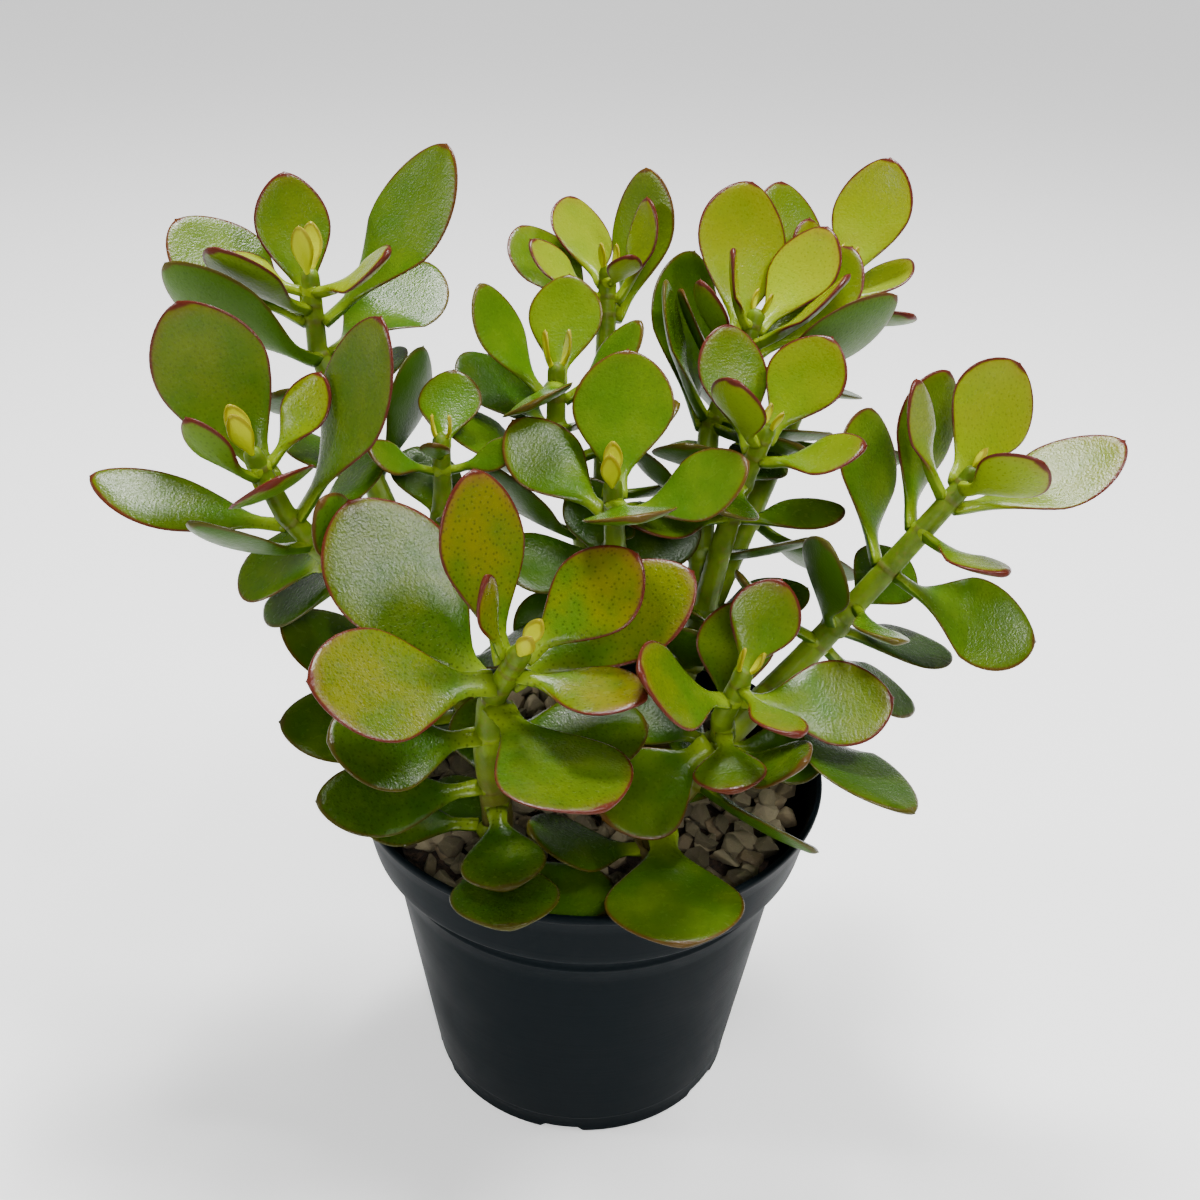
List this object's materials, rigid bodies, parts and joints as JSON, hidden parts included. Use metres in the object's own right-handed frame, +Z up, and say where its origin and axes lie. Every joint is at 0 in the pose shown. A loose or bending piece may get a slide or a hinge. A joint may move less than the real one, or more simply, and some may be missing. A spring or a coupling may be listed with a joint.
{
  "type": "potted succulent plant",
  "caption": "Branching jade plant with thick rounded leaves in opposite pairs, in a round tapered nursery pot topped with gravel.",
  "frame": {"origin": "centre of the pot's resting face, on the surface it stands on", "axes": "+Z up along the pot's axis; -Y is the front of the plant, and +X its right seen from the front"},
  "size_m": [0.2651, 0.192, 0.2518],
  "materials": {
    "leaf": "waxy, semi-gloss, with tiny dark dots and thin red margins",
    "stem": "fleshy, satin, ringed at each leaf joint",
    "pot": "satin black plastic with a blue tint",
    "soil": "rough, crumbly",
    "gravel": "matte, angular"
  },
  "bodies": {
    "root": {"gravel": "gravel", "leaf_pair_back_centre_1": "leaf", "leaf_pair_back_centre_2": "leaf", "leaf_pair_back_centre_3": "leaf", "leaf_pair_back_top_1": "leaf", "leaf_pair_back_top_2": "leaf", "leaf_pair_back_top_3": "leaf", "leaf_pair_centre_1": "leaf", "leaf_pair_centre_2": "leaf", "leaf_pair_front_1": "leaf", "leaf_pair_front_2": "leaf", "leaf_pair_front_3": "leaf", "leaf_pair_front_4": "leaf", "leaf_pair_front_5": "leaf", "leaf_pair_front_6": "leaf", "leaf_pair_front_7": "leaf", "leaf_pair_front_8": "leaf", "leaf_pair_left_1": "leaf", "leaf_pair_left_2": "leaf", "leaf_pair_left_centre_1": "leaf", "leaf_pair_left_centre_2": "leaf", "leaf_pair_left_front_1": "leaf", "leaf_pair_left_front_2": "leaf", "leaf_pair_left_front_3": "leaf", "leaf_pair_left_front_4": "leaf", "leaf_pair_left_top_1": "leaf", "leaf_pair_left_top_2": "leaf", "leaf_pair_left_top_3": "leaf", "leaf_pair_left_top_4": "leaf", "leaf_pair_right_back_1": "leaf", "leaf_pair_right_back_2": "leaf", "leaf_pair_right_back_3": "leaf", "leaf_pair_right_centre_1": "leaf", "leaf_pair_right_centre_2": "leaf", "leaf_pair_right_centre_3": "leaf", "leaf_pair_right_front_1": "leaf", "leaf_pair_right_front_2": "leaf", "leaf_pair_right_front_3": "leaf", "leaf_pair_right_front_4": "leaf", "leaf_pair_right_low_1": "leaf", "leaf_pair_right_side_1": "leaf", "leaf_pair_right_side_2": "leaf", "leaf_pair_right_side_3": "leaf", "leaf_pair_right_side_4": "leaf", "leaf_pair_right_side_5": "leaf", "leaf_pair_right_side_6": "leaf", "leaf_pair_right_side_7": "leaf", "leaf_pair_right_top_1": "leaf", "leaf_pair_right_top_2": "leaf", "leaf_pair_right_top_3": "leaf", "leaf_pair_right_top_4": "leaf", "leaf_pair_right_top_5": "leaf", "leaf_pair_right_top_6": "leaf", "pot": "pot", "potting_soil": "soil", "stem_back": "stem", "stem_front": "stem", "stem_left": "stem", "stem_right": "stem", "stem_right_low": "stem"}
  },
  "joints": []
}
